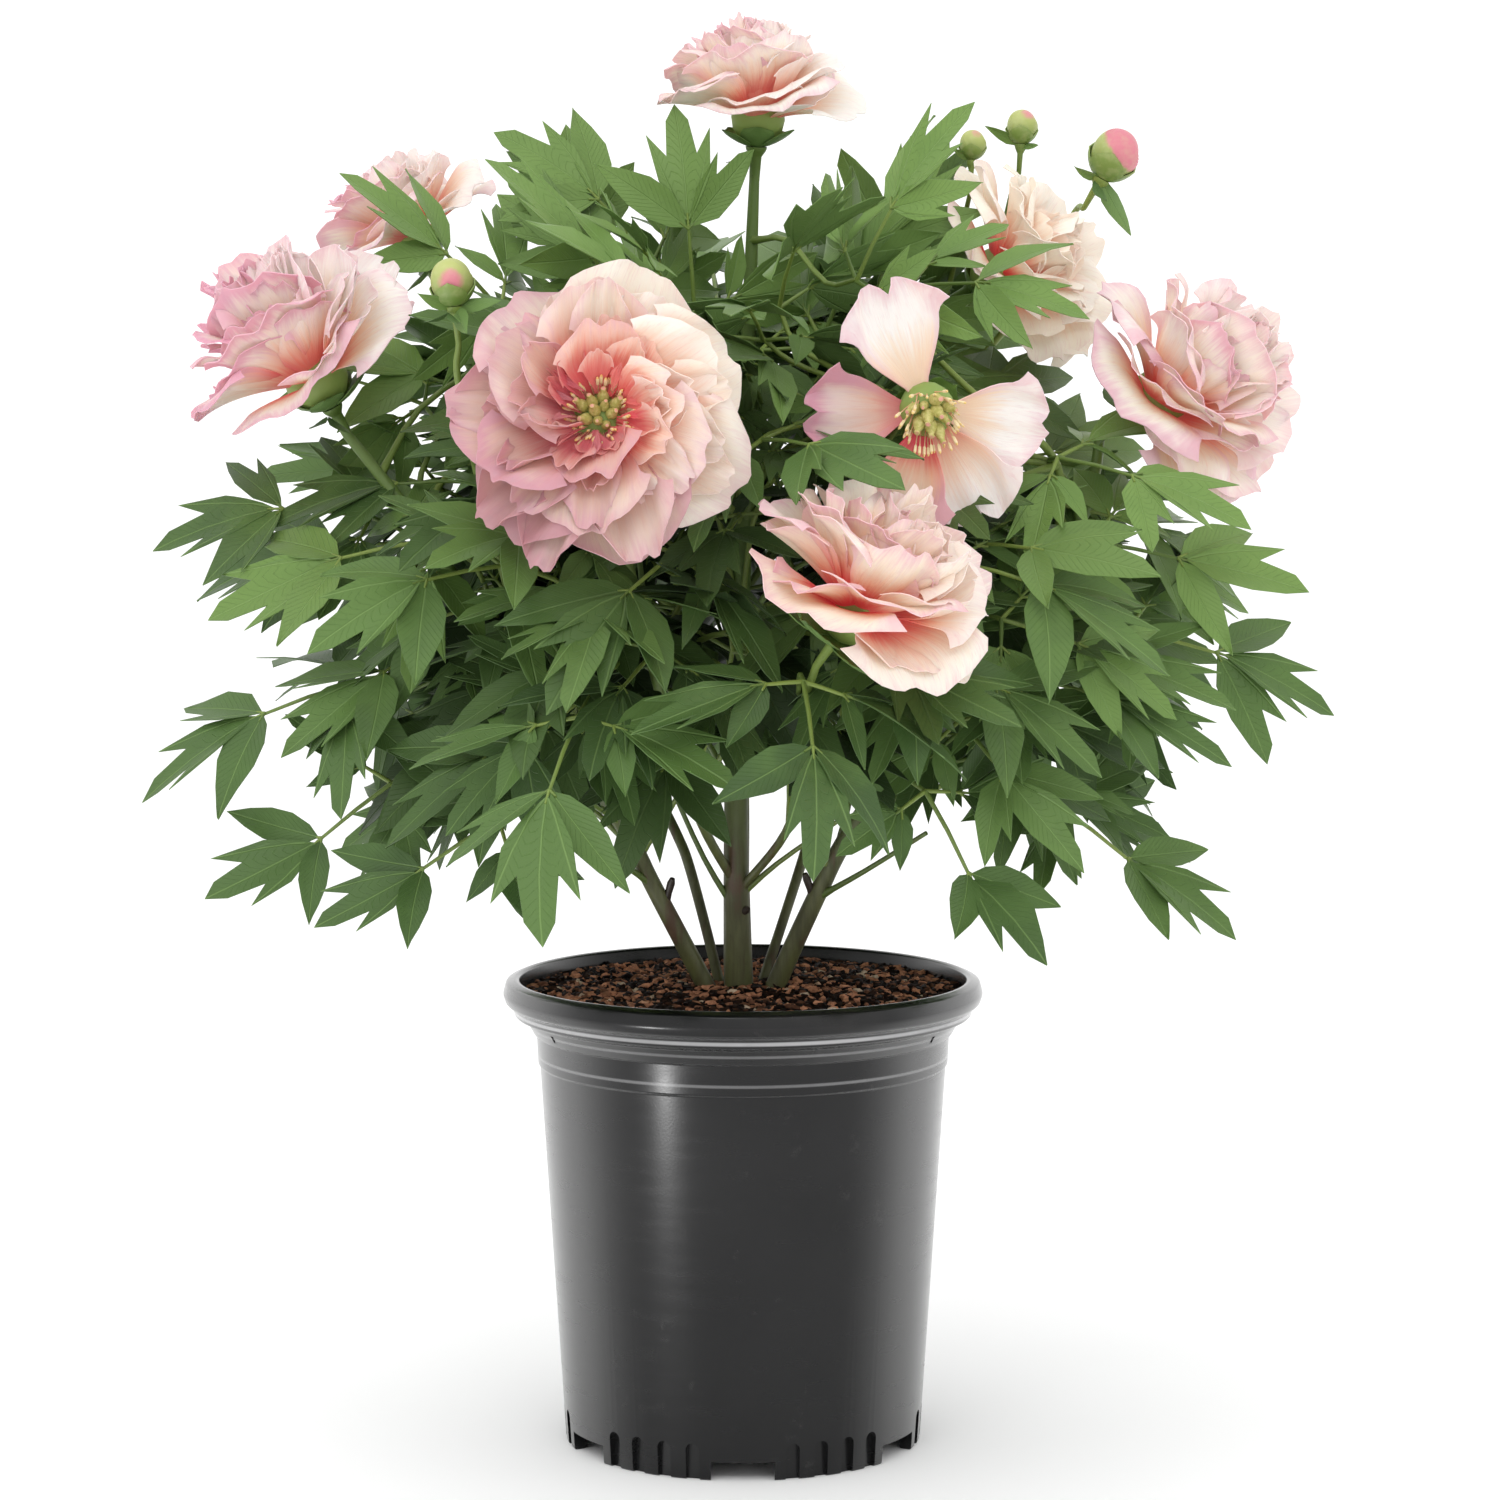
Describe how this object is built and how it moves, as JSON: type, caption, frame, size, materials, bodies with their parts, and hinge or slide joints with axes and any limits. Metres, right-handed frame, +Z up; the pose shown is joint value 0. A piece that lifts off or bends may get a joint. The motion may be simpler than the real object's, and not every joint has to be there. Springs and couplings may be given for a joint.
{
  "type": "potted peony",
  "caption": "Bushy peony in a round nursery pot: leafy stems with divided leaves carry double peach-pink blooms and buds above dark soil.",
  "frame": {"origin": "middle of the part's box, at floor level under the pot's feet", "axes": "+Z up, -Y towards the front of the plant where the largest bloom faces, +X to its right"},
  "size_m": [0.5396, 0.4914, 0.6639],
  "materials": {
    "pot_plastic": "black moulded plastic with a soft sheen",
    "soil_bark": "coarse damp bark and peat",
    "leaf_green": "satin green leaves and stalks",
    "petal_peach": "matte peach petals with pink edges",
    "centre_green_gold": "yellow-green carpels with cream stamens",
    "bud_green_pink": "satin green bud with a pink blush"
  },
  "bodies": {
    "root": {"pot": "pot_plastic", "soil": "soil_bark", "stem_centre": "leaf_green", "stem_left": "leaf_green", "stem_left_back": "leaf_green", "stem_right": "leaf_green", "stem_right_back": "leaf_green", "stem_back": "leaf_green", "bloom_front": "petal_peach", "bloom_left": "petal_peach", "bloom_upper_left": "petal_peach", "bloom_top": "petal_peach", "bloom_right_back": "petal_peach", "bloom_right": "petal_peach", "bloom_lower_right": "petal_peach", "bloom_spent": "petal_peach", "centre_front": "centre_green_gold", "centre_spent": "centre_green_gold", "bud_left": "bud_green_pink", "bud_small": "bud_green_pink", "bud_green": "bud_green_pink", "bud_pink": "bud_green_pink"}
  },
  "joints": []
}
